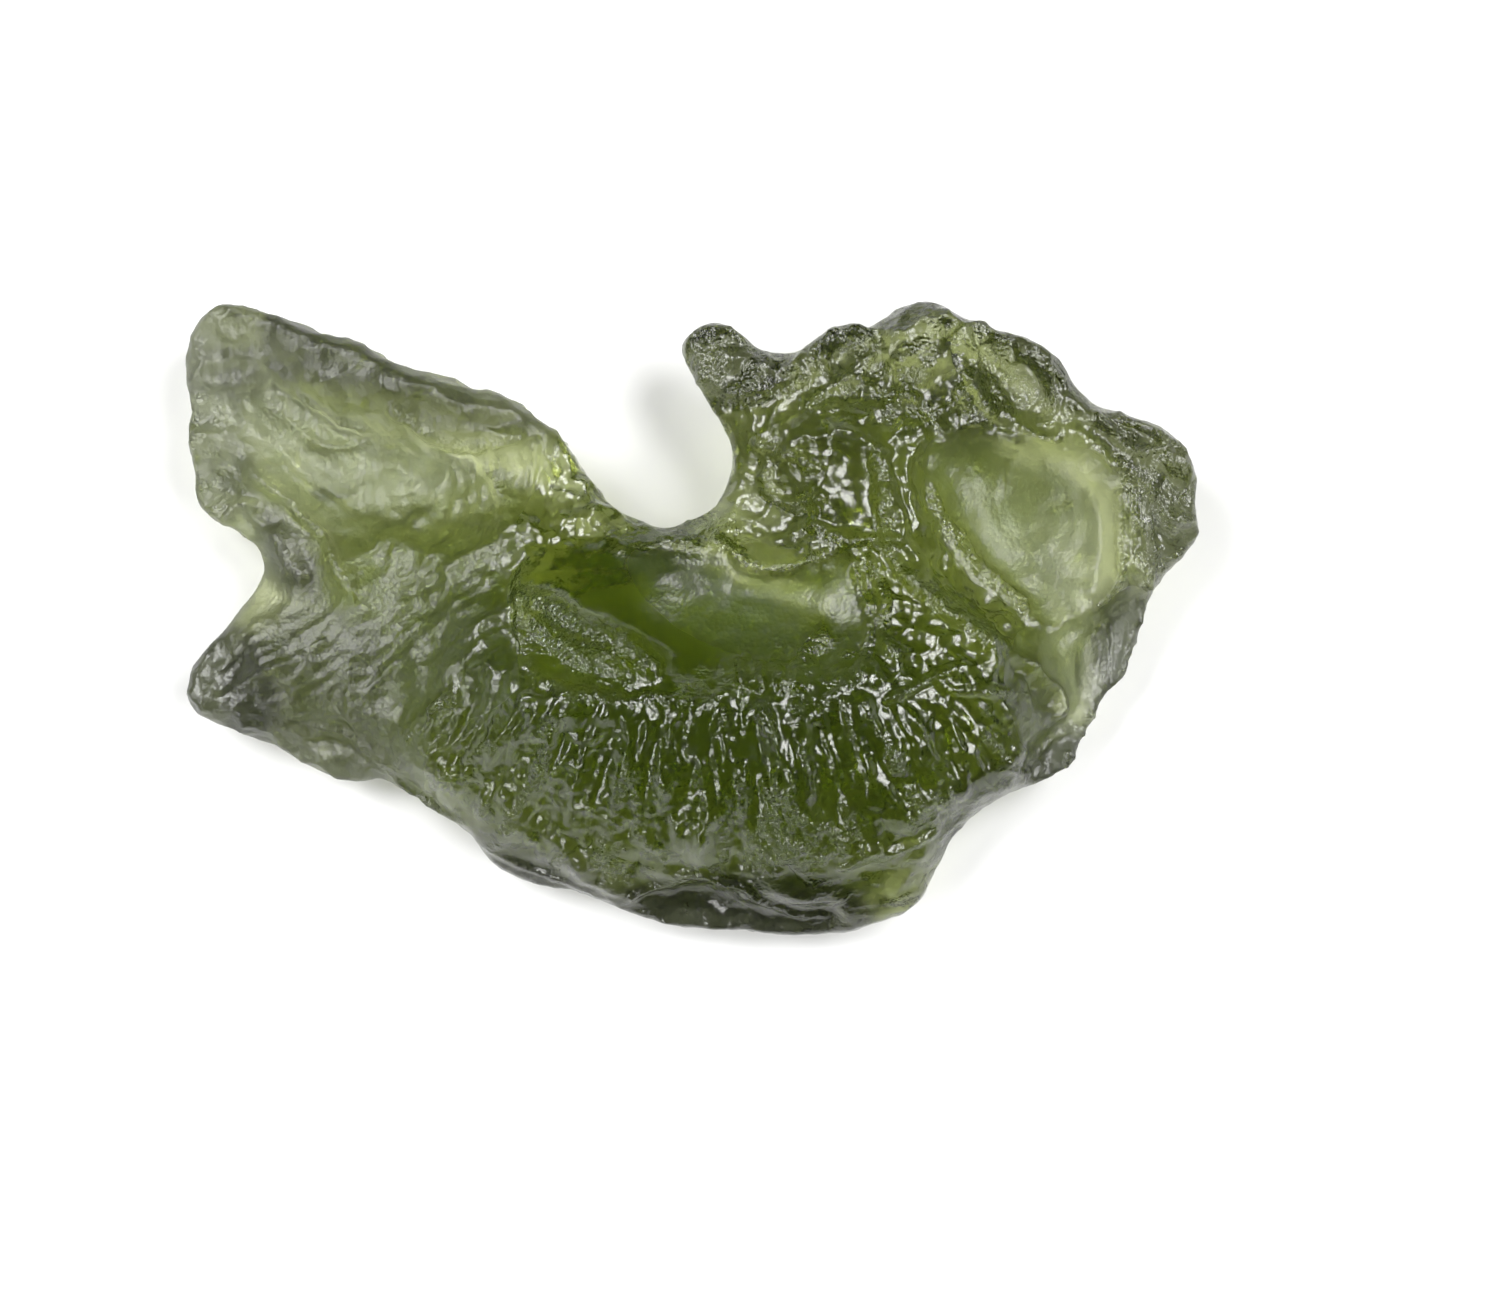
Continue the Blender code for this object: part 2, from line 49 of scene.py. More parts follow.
PICTURE_LEFT, PICTURE_RIGHT = 180, 1199
PICTURE_TOP, PICTURE_BOTTOM = 302, 938
MM_PER_PIXEL = LENGTH / (PICTURE_RIGHT - PICTURE_LEFT)
PICTURE_MIDDLE = ((PICTURE_LEFT + PICTURE_RIGHT) / 2, (PICTURE_TOP + PICTURE_BOTTOM) / 2)


def on_stone(pixel):
    """A pixel of the picture as millimetres across and up the stone's plan."""
    across = (pixel[0] - PICTURE_MIDDLE[0]) * MM_PER_PIXEL
    up = (PICTURE_MIDDLE[1] - pixel[1]) * MM_PER_PIXEL
    return across, up


def flowing_line(pixels, closed):
    """A smooth line through some pixels, as plan positions in millimetres."""
    corners = np.array([on_stone(pixel) for pixel in pixels])
    count = len(corners)
    line = []
    for span in range(count if closed else count - 1):
        if closed:
            a, b, c, d = (corners[(span + i) % count] for i in (-1, 0, 1, 2))
        else:
            a, b, c, d = (corners[min(max(span + i, 0), count - 1)] for i in (-1, 0, 1, 2))
        for t in (0, 0.25, 0.5, 0.75):
            bend = (2 * a - 5 * b + 4 * c - d) * t**2 + (3 * b - a - 3 * c + d) * t**3
            line.append(0.5 * (2 * b + (c - a) * t + bend))
    if not closed:
        line.append(corners[-1])
    return np.array(line)


def gap_to(plan, line, closed):
    """How far each plan position is from the line, and how far along the line it is, 0 to 1."""
    starts = line if closed else line[:-1]
    ends = np.roll(line, -1, axis=0) if closed else line[1:]
    gap = np.full(len(plan), np.inf)
    along = np.zeros(len(plan))
    for index, (start, end) in enumerate(zip(starts, ends)):
        run = end - start
        share = np.clip((plan - start) @ run / max(run @ run, 1e-12), 0, 1)
        far = np.linalg.norm(plan - start - share[:, None] * run, axis=1)
        closer = far < gap
        gap[closer] = far[closer]
        along[closer] = (index + share[closer]) / len(starts)
    return gap, along


def ease(value):
    value = np.clip(value, 0, 1)
    return value * value * (3 - 2 * value)


def patch(plan, pixels, blend):
    """1 inside a closed line of pixels and 0 outside, blended over that many millimetres."""
    line = flowing_line(pixels, closed=True)
    gap, _ = gap_to(plan, line, closed=True)
    inside = np.zeros(len(plan), bool)
    across, up = plan.T
    for (x0, y0), (x1, y1) in zip(line, np.roll(line, -1, axis=0)):
        if y0 != y1:
            spans = (y0 > up) != (y1 > up)
            inside ^= spans & (across < (x1 - x0) * (up - y0) / (y1 - y0) + x0)
    return ease(0.5 + np.where(inside, gap, -gap) / blend)


def pits(places):
    """0 in the middle of each etched pit, 1 on the crests between pits, for rows of positions."""
    found = np.empty(len(places))
    for index, place in enumerate(places):
        nearest, _ = noise.voronoi(Vector(place))
        found[index] = min(nearest[0], 1.0)
    return found * found


stone_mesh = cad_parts["moldavite"].data.copy()
stone_mesh.name = "moldavite_glass"
stone = bpy.data.objects.new("moldavite_glass", stone_mesh)
bpy.context.scene.collection.objects.link(stone)
skin = bmesh.new()
skin.from_mesh(stone_mesh)
bmesh.ops.scale(skin, vec=(1 / MM, 1 / MM, 1 / MM), verts=skin.verts)
bmesh.ops.remove_doubles(skin, verts=skin.verts, dist=0.001)
skin.to_mesh(stone_mesh)
skin.free()


def shaped_by(kind, **settings):
    """Puts one modifier on the stone, and makes what it shapes the stone's own mesh."""
    modifier = stone.modifiers.new(kind.title(), kind)
    for name, value in settings.items():
        setattr(modifier, name, value)
    shaped = bpy.data.meshes.new_from_object(stone.evaluated_get(bpy.context.evaluated_depsgraph_get()))
    stone.modifiers.clear()
    return shaped


def read(mesh, what):
    """The places or the normals of a mesh's points, one row each."""
    rows = np.empty(len(mesh.vertices) * 3, np.float32)
    mesh.vertices.foreach_get(what, rows)
    return rows.reshape(-1, 3).astype(float)


stone.data = shaped_by("REMESH", mode="VOXEL", voxel_size=SKIN_VOXEL)
stone.data = shaped_by("SMOOTH", factor=0.5, iterations=5)
stone_mesh = stone.data
co = read(stone_mesh, "co")
normal = read(stone_mesh, "normal")
facing_up = ease(0.5 + normal[:, 2] * 2)
flatness = 0.35 + 0.65 * np.abs(normal[:, 2])

# The drawn lines and patches wander a little, as etching does.
WANDER, WANDER_SPAN = 0.14, 1.1
wander = np.array([noise.noise_vector(Vector(place / WANDER_SPAN)) for place in co])
plan = co[:, :2] + WANDER * wander[:, :2]

# Ridges and furrows of the face that stand out crisply: where each runs, its height in
# millimetres (below zero for a furrow), its half width, and how crumbled it is, 0 to 1.
CRISP_LINES = [
    ([(526, 586), (536, 600), (556, 606), (580, 626), (606, 636), (640, 656), (668, 676)], 0.22, 0.26, 1),
    ([(524, 560), (520, 600), (530, 650), (552, 680), (600, 693), (660, 696), (710, 700)], 0.10, 0.16, 0.8),
    ([(528, 612), (552, 640), (590, 664), (640, 688)], -0.05, 0.30, 1),
    ([(738, 660), (744, 690)], 0.20, 0.13, 1),
    ([(757, 660), (762, 692)], 0.20, 0.11, 1),
    ([(774, 664), (783, 694)], 0.20, 0.13, 1),
    ([(792, 690), (800, 664), (818, 640), (828, 632)], 0.28, 0.30, 1),
    ([(850, 566), (864, 600), (866, 640), (852, 676), (820, 698)], 0.16, 0.14, 0.6),
    ([(640, 536), (690, 544), (730, 552), (760, 566), (790, 566), (838, 552)], 0.16, 0.16, 0.8),
    ([(650, 582), (690, 578), (700, 610), (690, 640)], 0.03, 0.20, 0),
    ([(265, 385), (288, 402), (310, 415), (350, 440)], -0.22, 0.16, 0),
    ([(300, 398), (330, 418), (372, 436)], 0.16, 0.10, 0.3),
    ([(262, 404), (300, 430), (330, 446), (376, 444)], 0.12, 0.12, 0.2),
    ([(388, 408), (408, 424), (450, 445), (490, 446), (530, 440)], 0.24, 0.14, 0.5),
    ([(396, 384), (420, 410), (470, 426), (528, 424)], -0.14, 0.20, 0),
    ([(240, 466), (275, 492), (300, 510), (325, 535), (340, 560), (362, 605)], 0.24, 0.18, 0.2),
    ([(322, 516), (344, 560), (356, 590)], -0.14, 0.12, 0),
    ([(270, 524), (284, 550), (312, 584)], 0.18, 0.30, 0.2),
    ([(540, 440), (536, 470), (528, 502)], -0.20, 0.12, 0),
    ([(470, 450), (474, 480), (484, 520)], -0.10, 0.12, 0),
    ([(500, 440), (496, 470), (504, 500)], 0.12, 0.12, 0.4),
    ([(310, 728), (345, 733), (370, 750), (400, 780), (432, 806), (470, 832)], 0.24, 0.11, 0.5),
    ([(300, 744), (340, 750), (366, 766)], -0.18, 0.14, 0),
    ([(470, 836), (505, 858), (560, 880), (606, 900)], 0.12, 0.12, 0.2),
    ([(622, 905), (650, 886), (690, 876), (738, 884), (772, 906), (832, 920)], 0.18, 0.11, 0.5),
    ([(838, 870), (856, 858), (900, 848), (940, 826)], 0.14, 0.11, 0.4),
    ([(934, 842), (950, 826), (975, 800), (1016, 782), (1034, 772)], 0.16, 0.12, 0.3),
    ([(1028, 778), (1040, 748), (1062, 730), (1098, 738)], 0.18, 0.10, 0.2),
    ([(872, 440), (880, 490), (884, 545), (900, 572), (930, 600), (975, 630), (1012, 656)], 0.22, 0.18, 1),
    ([(892, 440), (900, 500), (926, 560), (972, 602), (1012, 640)], -0.14, 0.18, 0),
    ([(928, 486), (938, 510), (962, 545), (984, 574), (1012, 596), (1030, 618)], 0.20, 0.18, 1),
    ([(745, 446), (770, 450), (800, 462), (818, 478)], 0.18, 0.15, 1),
    ([(762, 468), (770, 492), (788, 508), (830, 498)], 0.18, 0.15, 1),
    ([(786, 540), (812, 528), (846, 544), (905, 545)], 0.18, 0.13, 1),
    ([(862, 560), (880, 590), (878, 630), (892, 660)], 0.16, 0.13, 1),
    ([(938, 330), (950, 362), (960, 385), (984, 420), (1000, 436)], -0.30, 0.20, 0),
    ([(955, 330), (972, 366), (1000, 410), (1030, 436), (1056, 444)], 0.20, 0.15, 0.4),
    ([(905, 345), (902, 380), (915, 410)], 0.16, 0.16, 1),
    ([(1000, 655), (1030, 668), (1054, 690), (1062, 725)], 0.20, 0.11, 0.2),
    ([(1012, 668), (1034, 684), (1048, 712)], -0.30, 0.24, 0),
    ([(880, 702), (905, 688), (926, 676), (960, 668)], 0.16, 0.11, 0.6),
    ([(926, 680), (960, 690), (1000, 690), (1030, 700)], 0.12, 0.10, 0.3),
    ([(816, 376), (812, 352), (830, 340), (852, 332), (868, 346), (860, 374)], 0.20, 0.13, 0.8),
    ([(832, 368), (842, 352), (854, 352)], -0.12, 0.16, 0),
    ([(712, 352), (722, 342)], -0.12, 0.24, 0),
    ([(692, 372), (720, 392), (752, 400), (780, 392), (812, 380)], 0.16, 0.16, 0.8),
    ([(1088, 430), (1104, 446), (1110, 462)], -0.16, 0.20, 0),
    ([(1118, 424), (1138, 434), (1150, 446)], -0.16, 0.20, 0),
    ([(1090, 412), (1106, 430), (1128, 456), (1160, 452)], 0.22, 0.12, 0.8),
    ([(1156, 480), (1166, 500), (1160, 530)], -0.14, 0.16, 0),
    ([(1150, 470), (1146, 520), (1150, 560), (1142, 596)], 0.20, 0.12, 0.6),
    ([(1090, 480), (1096, 520), (1098, 560), (1086, 600)], -0.14, 0.22, 0),
    ([(1112, 486), (1118, 530), (1114, 580), (1092, 612)], 0.18, 0.13, 0.5),
    ([(1104, 620), (1110, 650), (1106, 690)], 0.14, 0.10, 0.2),
    ([(1124, 612), (1130, 640), (1124, 676)], 0.14, 0.10, 0.2),
    ([(1000, 500), (1006, 470), (1020, 452)], -0.08, 0.10, 0),
    ([(184, 410), (196, 426)], -0.18, 0.22, 0),
    ([(208, 474), (220, 492)], -0.20, 0.24, 0),
    ([(216, 530), (240, 505), (262, 510)], 0.16, 0.14, 0.3),
    ([(230, 690), (255, 676), (285, 664)], 0.12, 0.10, 0.3),
]
CRUMB_SPREAD = 1.2
sculpt = np.zeros(len(co))
crumbled = np.zeros(len(co))
for pixels, height, half_width, crumbs in CRISP_LINES:
    gap, along = gap_to(plan, flowing_line(pixels, closed=False), closed=False)
    taper = facing_up * ease(6 * along + 0.2) * ease(6 * (1 - along) + 0.2)
    sculpt += height * taper * np.exp(-((gap / half_width) ** 2))
    crumbled = np.maximum(crumbled, crumbs * taper * np.exp(-((gap / half_width / CRUMB_SPREAD) ** 2)))

# How each part of the face is etched: its closed line of pixels, the pits' width, length and
# depth in millimetres, and the direction that they are drawn out in, in degrees from +X.
ETCHED = [
    ([(200, 400), (330, 400), (450, 440), (540, 440), (545, 500), (440, 545), (330, 520), (210, 450)],
     0.55, 1.3, 0.30, 100),
    ([(215, 420), (330, 440), (350, 520), (300, 560), (220, 500)], 0.42, 1.4, 0.22, 140),
    ([(230, 600), (300, 580), (420, 560), (520, 540), (520, 640), (440, 700), (300, 720), (200, 690)],
     0.34, 1.1, 0.17, 30),
    ([(680, 320), (780, 350), (900, 300), (1060, 360), (1060, 440), (900, 440), (780, 420), (700, 400)],
     0.70, 0.85, 0.52, 60),
    ([(1060, 410), (1180, 440), (1196, 530), (1150, 600), (1120, 610), (1120, 480)],
     0.66, 1.0, 0.50, 120),
    ([(730, 450), (880, 440), (930, 580), (1000, 660), (1000, 700), (880, 700), (870, 580), (740, 545)],
     0.50, 0.70, 0.26, 0),
    ([(470, 850), (640, 880), (840, 870), (940, 830), (920, 920), (800, 938), (640, 920), (500, 880)],
     0.30, 1.2, 0.14, 5),
    ([(1095, 600), (1140, 600), (1140, 690), (1100, 700)], 0.36, 1.6, 0.22, 85),
]
FLUTED = [
    (400, 690), (500, 700), (620, 702), (760, 702), (880, 700), (960, 690), (1050, 730), (1030, 780),
    (940, 820), (840, 868), (700, 874), (560, 876), (470, 830), (400, 770),
]
FLUTE_FAN = (720, 380)
FLUTES = [(0.90, 2.6, 0.32), (0.44, 1.3, 0.24), (0.24, 0.6, 0.08)]
FLUTE_CRUMBS = 1.0
CALM = [
    ([(523, 612), (530, 574), (560, 550), (660, 550), (760, 566), (846, 580), (864, 624), (850, 664),
      (780, 690), (640, 690), (548, 680)], 0.84),
    ([(925, 462), (1000, 446), (1085, 470), (1118, 520), (1110, 580), (1060, 622), (1000, 600),
      (950, 540)], 0.80),
    ([(262, 540), (330, 540), (400, 570), (390, 620), (300, 640), (240, 620)], 0.65),
    ([(260, 320), (400, 360), (560, 430), (540, 440), (440, 420), (330, 380), (262, 350)], 0.45),
    ([(826, 470), (866, 462), (884, 500), (884, 540), (850, 534)], 0.70),
    ([(1040, 640), (1090, 636), (1100, 680), (1076, 718), (1054, 700)], 0.90),
    ([(1010, 365), (1050, 390), (1052, 430), (1010, 420)], 0.50),
    ([(420, 806), (520, 840), (640, 862), (840, 858), (940, 816), (950, 870), (840, 940), (620, 930),
      (480, 890)], 0.45),
]
# Hollows of the back, where the glass over them looks palest, with their depth.
THINNED = [
    ([(716, 574), (790, 566), (846, 586), (856, 634), (800, 648), (756, 606)], 0.70),
    ([(300, 430), (400, 430), (530, 455), (500, 520), (400, 520), (310, 480)], 0.20),
]
PLAIN_PITS = (0.65, 0.65, 0.34)
FINE_PITS = (0.30, 0.30, 0.07)
CRUMBS = (0.24, 0.24, 0.22)


def drawn_pits(places, degrees, width, length, layer):
    """Pits that wide and that long, drawn out in that direction on the stone's plan."""
    turned = math.radians(degrees - 90)
    across = np.array((math.cos(turned), math.sin(turned)))
    along = np.array((-across[1], across[0]))
    grid = np.column_stack([
        places[:, :2] @ across / width,
        places[:, :2] @ along / length,
        places[:, 2] / max(width, 0.5) + layer,
    ])
    return pits(grid) - 0.4


warped = co + 0.5 * WANDER * wander
etch = PLAIN_PITS[2] * drawn_pits(warped, 90, PLAIN_PITS[0], PLAIN_PITS[1], 3.0)
for layer, (pixels, width, length, depth, degrees) in enumerate(ETCHED):
    share = facing_up * patch(plan, pixels, 1.2)
    near = share > 0.01
    drawn = depth * drawn_pits(warped[near], degrees, width, length, 11.0 * layer)
    etch[near] += share[near] * (drawn - etch[near])

share = facing_up * patch(plan, FLUTED, 1.0)
near = share > 0.01
spoke = plan[near] - np.array(on_stone(FLUTE_FAN))
reach = np.linalg.norm(spoke, axis=1)
turn = np.arctan2(spoke[:, 0], -spoke[:, 1]) * np.median(reach)
flutes = np.zeros(near.sum())
crests = np.zeros(near.sum())
for layer, (width, length, depth) in enumerate(FLUTES):
    fan = np.column_stack([turn / width, reach / length, np.full(len(turn), 5.0 * layer)])
    cups = pits(fan)
    flutes += depth * (cups - 0.4)
    crests += depth * cups
etch[near] += share[near] * (flutes - etch[near])
broken = np.array([noise.noise(Vector(place / 0.45)) for place in co])
low_crest, high_crest = np.percentile(crests, (76, 88))
crests = ease((crests - low_crest) / (high_crest - low_crest)) * ease(0.8 + 1.8 * broken[near])
crumbled[near] = np.maximum(crumbled[near], FLUTE_CRUMBS * share[near] * crests)
etch += FINE_PITS[2] * drawn_pits(warped, 90, FINE_PITS[0], FINE_PITS[1], 7.0)
calm = np.ones(len(co))
for pixels, lost in CALM:
    calm = np.minimum(calm, 1 - lost * facing_up * patch(plan, pixels, 0.7))
for pixels, depth in THINNED:
    sculpt -= depth * (1 - facing_up) * patch(plan, pixels, 1.2)
near = crumbled > 0.02
crumbs = np.zeros(len(co))
crumbs[near] = crumbled[near] * CRUMBS[2] * drawn_pits(warped[near], 90, CRUMBS[0], CRUMBS[1], 19.0)

resting = co[:, 2] < 0.03
moved = normal * ((sculpt + etch * calm + crumbs) * flatness)[:, None]
moved[resting] = 0
co += moved
co[:, 2] = np.maximum(co[:, 2], 0)
stone_mesh.vertices.foreach_set("co", co.ravel())
stone_mesh.update()

# What the glass needs to know of its skin: where it is crumbled or a crest, where it is calm,
# where light is painted in as a paler tint, and where shade is painted in as a dark grey tint.
CREST_HEIGHT = 0.12
evened = read(shaped_by("SMOOTH", factor=0.5, iterations=40), "co")
normal = read(stone_mesh, "normal")
crest = ease(((co - evened) * normal).sum(axis=1) / CREST_HEIGHT - 0.5)
CRUMBLED = [
    ([(664, 300), (748, 312), (794, 350), (772, 404), (698, 404)], 0.90),
    ([(790, 326), (870, 312), (930, 286), (1090, 336), (1120, 424), (1040, 420), (900, 430), (780, 400)],
     0.90),
    ([(1070, 400), (1206, 420), (1214, 560), (1150, 604), (1122, 500), (1090, 440)], 0.90),
    ([(600, 520), (680, 530), (740, 510), (745, 556), (690, 556), (600, 545)], 0.80),
    ([(170, 380), (215, 400), (240, 500), (200, 520), (170, 480)], 0.80),
    ([(610, 880), (850, 872), (950, 826), (960, 950), (610, 950)], 0.20),
    ([(700, 664), (760, 646), (850, 632), (858, 690), (700, 704)], 0.70),
]
for pixels, share in CRUMBLED:
    crumbled = np.maximum(crumbled, share * patch(plan, pixels, 0.8) * ease(0.5 + 2.2 * broken))
FROSTED = [
    ([(150, 270), (300, 300), (530, 390), (560, 440), (510, 540), (480, 640), (440, 720), (400, 830),
      (330, 800), (250, 700), (250, 620), (220, 600), (150, 560)], 0.65),
    ([(150, 620), (240, 600), (300, 660), (290, 780), (150, 780)], 0.40),
    ([(440, 540), (530, 520), (530, 690), (420, 740)], 0.30),
    ([(440, 830), (640, 880), (840, 872), (950, 826), (960, 960), (440, 940)], 0.05),
    ([(650, 290), (930, 280), (1080, 330), (1230, 410), (1230, 580), (1150, 630), (1110, 590), (1100, 480),
      (1040, 440), (900, 430), (780, 400), (690, 420)], 0.12),
    ([(925, 450), (1000, 436), (1095, 460), (1128, 520), (1110, 590), (1060, 632), (1000, 600), (940, 540)],
     0.60),
    ([(1000, 650), (1090, 600), (1160, 600), (1150, 700), (1100, 760), (1050, 800), (1020, 740)], 0.55),
    ([(720, 430), (890, 430), (890, 550), (740, 560)], 0.10),
    ([(640, 548), (790, 548), (860, 576), (874, 634), (806, 672), (720, 650), (650, 600)], 0.52),
]
# Painted light: these patches lift the glass's tint toward the fresh skin's paler one where the glass
# shines brightest: the wing's hollow, the window, the notch and a strip by the bowl.
PAINTED_LIGHT = [
    ([(270, 420), (400, 430), (530, 450), (520, 520), (420, 540), (330, 500), (260, 460)], 0.55),
    ([(680, 560), (790, 552), (856, 578), (870, 630), (810, 668), (730, 650), (680, 610)], 0.85),
    ([(516, 590), (534, 560), (580, 552), (590, 590), (556, 640), (520, 640)], 0.80),
    ([(884, 560), (930, 600), (1012, 656), (990, 672), (900, 624)], 0.55),
    ([(246, 556), (330, 560), (334, 620), (240, 632)], 0.50),
]
painted_light = np.zeros(len(co))
for pixels, share in PAINTED_LIGHT:
    painted_light = np.maximum(painted_light, share * patch(plan, pixels, 0.9))
frosted = np.zeros(len(co))
for pixels, share in FROSTED:
    frosted = np.maximum(frosted, share * patch(plan, pixels, 1.0))
frosted = np.where(normal[:, 2] > 0, frosted, 0.5)
# Painted shade: these patches darken the glass's tint toward a dark grey in place of the shade on its steep
# rims and flanks, and a little on the neck and flutes.
PAINTED_SHADE = [
    ([(176, 296), (256, 300), (284, 340), (256, 392), (200, 404), (172, 390)], 0.78),
    ([(262, 306), (360, 332), (440, 376), (404, 408), (330, 388), (262, 374)], 0.93),
    ([(390, 358), (480, 388), (560, 430), (540, 440), (450, 432), (400, 408)], 0.82),
    ([(172, 400), (240, 420), (254, 500), (204, 532), (172, 480)], 0.62),
    ([(254, 512), (288, 518), (326, 570), (318, 604), (276, 584)], 0.86),
    ([(172, 640), (250, 626), (286, 690), (264, 748), (172, 740)], 0.97),
    ([(250, 620), (380, 620), (400, 740), (440, 830), (260, 780)], 0.54),
    ([(380, 580), (500, 580), (510, 690), (400, 700)], 0.20),
    ([(396, 780), (470, 822), (620, 884), (612, 936), (496, 904), (430, 862)], 0.97),
    ([(620, 878), (840, 868), (852, 950), (628, 944)], 0.96),
    ([(940, 800), (1040, 738), (1114, 728), (1066, 806), (946, 856)], 0.95),
    ([(1096, 600), (1160, 590), (1160, 690), (1100, 720)], 0.88),
    ([(998, 652), (1052, 690), (1064, 732), (1008, 740)], 0.58),
    ([(660, 300), (748, 312), (794, 350), (772, 404), (698, 404)], 0.94),
    ([(880, 306), (930, 286), (1090, 336), (1106, 414), (1040, 404), (1000, 352), (930, 326), (880, 344)],
     0.92),
    ([(790, 326), (880, 306), (880, 350), (860, 390), (790, 392)], 0.52),
    ([(860, 340), (930, 330), (1000, 360), (1060, 420), (960, 440), (860, 420)], 0.38),
    ([(1070, 400), (1206, 420), (1214, 560), (1150, 604), (1130, 500), (1090, 440)], 0.89),
    ([(735, 430), (860, 430), (870, 540), (760, 550)], 0.44),
    (FLUTED, 0.20),
]
painted_shade = np.zeros(len(co))
for pixels, share in PAINTED_SHADE:
    painted_shade = np.maximum(painted_shade, share * patch(plan, pixels, 0.9))
# The etched share is lowered where light is painted in, and the dark grey share holds the painted shade.
kinds = {
    "crumbled": np.maximum(crest, crumbled),
    "etched": calm * (1 - painted_light),
    "painted_shade": painted_shade,
    "frosted": frosted,
}
for name, values in kinds.items():
    layer = stone_mesh.attributes.new(name, "FLOAT", "POINT")
    layer.data.foreach_set("value", values.astype(np.float32))

# The back is plainer, so it needs fewer faces.
back = stone.vertex_groups.new(name="back")
back.add(np.nonzero(normal[:, 2] < -0.1)[0].tolist(), 1.0, "REPLACE")
triangles = sum(len(face.vertices) - 2 for face in stone_mesh.polygons)
stone.data = shaped_by("DECIMATE", ratio=min(1.0, SKIN_TRIANGLES / triangles), vertex_group="back")
stone.vertex_groups.clear()
stone_mesh = stone.data
stone_mesh.transform(Matrix.Scale(MM, 4))
stone_mesh.shade_smooth()


class Wire:
    """One socket of the glass being mixed. Sums on it add Math nodes, and node() adds any other."""

    def __init__(self, tree, socket=None):
        self.tree = tree
        self.socket = socket

    def node(self, kind, settings, sockets, output=0):
        made = self.tree.nodes.new(kind)
        for name, value in settings.items():
            setattr(made, name, value)
        for name, value in sockets.items():
            if isinstance(value, Wire):
                self.tree.links.new(value.socket, made.inputs[name])
            else:
                made.inputs[name].default_value = value
        return Wire(self.tree, made.outputs[output])

    def sum_of(self, operation, first, second):
        return self.node("ShaderNodeMath", {"operation": operation}, {0: first, 1: second})

    def __add__(self, other):
        return self.sum_of("ADD", self, other)

    def __radd__(self, other):
        return self.sum_of("ADD", other, self)

    def __sub__(self, other):
        return self.sum_of("SUBTRACT", self, other)

    def __rsub__(self, other):
        return self.sum_of("SUBTRACT", other, self)

    def __mul__(self, other):
        return self.sum_of("MULTIPLY", self, other)

    def __rmul__(self, other):
        return self.sum_of("MULTIPLY", other, self)


# The glass: clear, bubble-poor silica glass, coloured olive green right through by iron. What
# shows its colour is how much of it the light crosses. Its etched skin is dull, and its window
# and bowl are close to fresh.
GLASS_IOR = 1.49
ABSORBED_PER_METRE = (194.0, 166.0, 480.0)
ABSORBING = 520.0
FRESH_SKIN = (0.90, 0.92, 0.84, 1.0)
ETCHED_SKIN = (0.61, 0.64, 0.53, 1.0)
# This dark grey tint is painted shade, not a colour of the glass.
PAINTED_SHADE_TINT = (0.12, 0.128, 0.110, 1.0)

glass = bpy.data.materials.new("moldavite_glass")
glass.use_nodes = True
tree = glass.node_tree
tree.nodes.clear()
mix = Wire(tree)


def skin_share(name):
    return mix.node("ShaderNodeAttribute", {"attribute_name": name}, {}, "Fac")


def blend_of(share, first, second):
    return mix.node(
        "ShaderNodeMix", {"data_type": "RGBA"}, {"Factor": share, "A": first, "B": second}, "Result"
    )


where = mix.node("ShaderNodeTexCoord", {}, {}, "Object")
etched = skin_share("etched")
crumbled = skin_share("crumbled")
painted_shade = skin_share("painted_shade")
frosted = skin_share("frosted")
grain = mix.node("ShaderNodeTexNoise", {}, {"Vector": where, "Scale": 9000.0, "Detail": 3.0}, "Fac")
tiny_pits = mix.node("ShaderNodeTexVoronoi", {}, {"Vector": where, "Scale": 8000.0}, "Distance")
blotch = mix.node("ShaderNodeTexNoise", {}, {"Vector": where, "Scale": 420.0, "Detail": 3.0}, "Fac")
# The tint mixes the fresh and etched skins, which painted light lifts toward the fresh one, then darkens it
# with painted shade.
tint = blend_of(painted_shade, blend_of(etched, FRESH_SKIN, ETCHED_SKIN), PAINTED_SHADE_TINT)
relief = (tiny_pits + 0.7 * grain) * (0.05 + 0.05 * etched + 0.20 * frosted + 0.85 * crumbled)
bump = mix.node("ShaderNodeBump", {}, {"Strength": 1.0, "Distance": 0.00005, "Height": relief})
surface = mix.node(
    "ShaderNodeBsdfPrincipled",
    {},
    {
        "Base Color": tint,
        "Roughness": 0.14 + 0.08 * blotch + 0.36 * frosted * (1.0 - 0.7 * crumbled),
        "Normal": bump,
        "IOR": GLASS_IOR,
        "Transmission Weight": 1.0,
    },
)
inside = mix.node(
    "ShaderNodeVolumeAbsorption",
    {},
    {"Color": tuple(1 - a / ABSORBING for a in ABSORBED_PER_METRE) + (1.0,), "Density": ABSORBING},
)
finished = tree.nodes.new("ShaderNodeOutputMaterial")
tree.links.new(surface.socket, finished.inputs["Surface"])
tree.links.new(inside.socket, finished.inputs["Volume"])

stone_mesh.materials.clear()
stone_mesh.materials.append(glass)
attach(stone, "root")
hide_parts("moldavite")


# The table under the stone: a sheet of white card, plain and matt.
card_shape = bmesh.new()
bmesh.ops.create_grid(card_shape, x_segments=1, y_segments=1, size=1.5)
bmesh.ops.translate(card_shape, verts=card_shape.verts, vec=(0, 0, -0.05 * MM))
card_mesh = bpy.data.meshes.new("white_card")
card_shape.to_mesh(card_mesh)
card_shape.free()
card = bpy.data.objects.new("white_card", card_mesh)
bpy.context.scene.collection.objects.link(card)
card_paint = bpy.data.materials.new("white_card")
card_paint.use_nodes = True
paper = card_paint.node_tree.nodes["Principled BSDF"]
paper.inputs["Base Color"].default_value = (0.61, 0.61, 0.61, 1.0)
paper.inputs["Roughness"].default_value = 0.9
card_mesh.materials.append(card_paint)


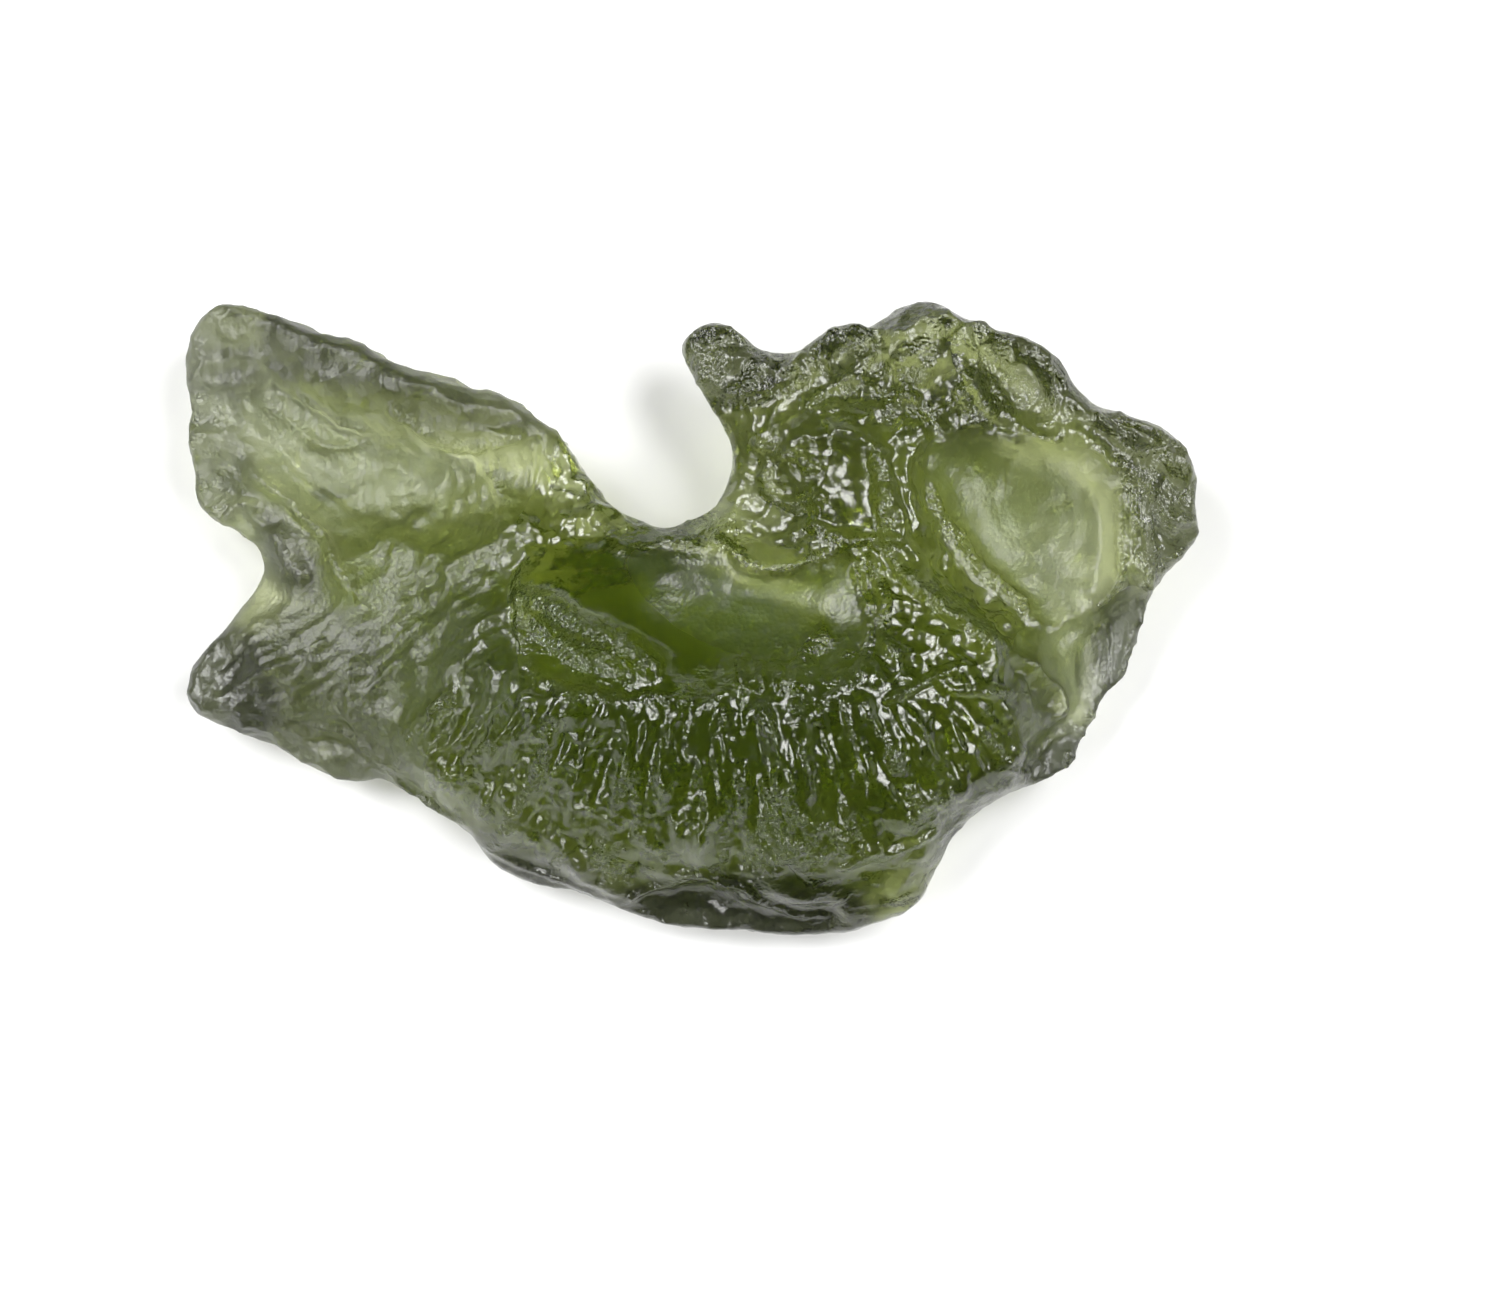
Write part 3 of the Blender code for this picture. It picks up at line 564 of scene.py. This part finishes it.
# The studio: a ring of small soft boxes round the stone, none of them above it, in a dim room.
# Each stands that many degrees round from +X and up from the table, that far away in metres.
SOFT_BOXES = {
    "key_box": (148, 56, 0.52, 0.25, 3.0),
    "left_box": (200, 42, 0.52, 0.21, 1.2),
    "front_box": (238, 24, 0.52, 0.14, 0.6),
    "right_box": (338, 44, 0.52, 0.21, 2.0),
    "back_box": (32, 56, 0.52, 0.25, 2.6),
}
for name, (round_from_x, up, away, width, power) in SOFT_BOXES.items():
    light = bpy.data.lights.new(name, "AREA")
    light.shape = "DISK"
    light.size = width
    light.energy = power
    box = bpy.data.objects.new(name, light)
    bpy.context.scene.collection.objects.link(box)
    level, height = away * math.cos(math.radians(up)), away * math.sin(math.radians(up))
    angle = math.radians(round_from_x)
    box.location = (level * math.cos(angle), level * math.sin(angle), height)
    box.rotation_mode = "QUATERNION"
    box.rotation_quaternion = box.location.to_track_quat("Z", "Y")
room = bpy.data.worlds.new("room")
bpy.context.scene.world = room
room.use_nodes = True
room.node_tree.nodes["Background"].inputs["Color"].default_value = (1.0, 1.0, 1.0, 1.0)
room.node_tree.nodes["Background"].inputs["Strength"].default_value = 0.05


# The camera looks straight down on the stone, as the picture does.
PICTURE_WIDTH = 1500
PICTURE_CENTRE = (750, 650)
LENS, SENSOR = 100.0, 36.0
EDGE_HEIGHT = 2.4
lens = bpy.data.cameras.new("camera")
lens.lens = LENS
lens.sensor_width = SENSOR
camera = bpy.data.objects.new("camera", lens)
bpy.context.scene.collection.objects.link(camera)
away = PICTURE_WIDTH * MM_PER_PIXEL * LENS / SENSOR
middle = on_stone(PICTURE_CENTRE)
camera.location = (middle[0] * MM, middle[1] * MM, (EDGE_HEIGHT + away) * MM)
lens.clip_start = 0.005
lens.clip_end = 10.0
bpy.context.scene.camera = camera

cycles = bpy.context.scene.cycles
cycles.max_bounces = 10
cycles.transmission_bounces = 10
cycles.glossy_bounces = 6
cycles.use_denoising = True
bpy.context.scene.view_settings.view_transform = "Standard"
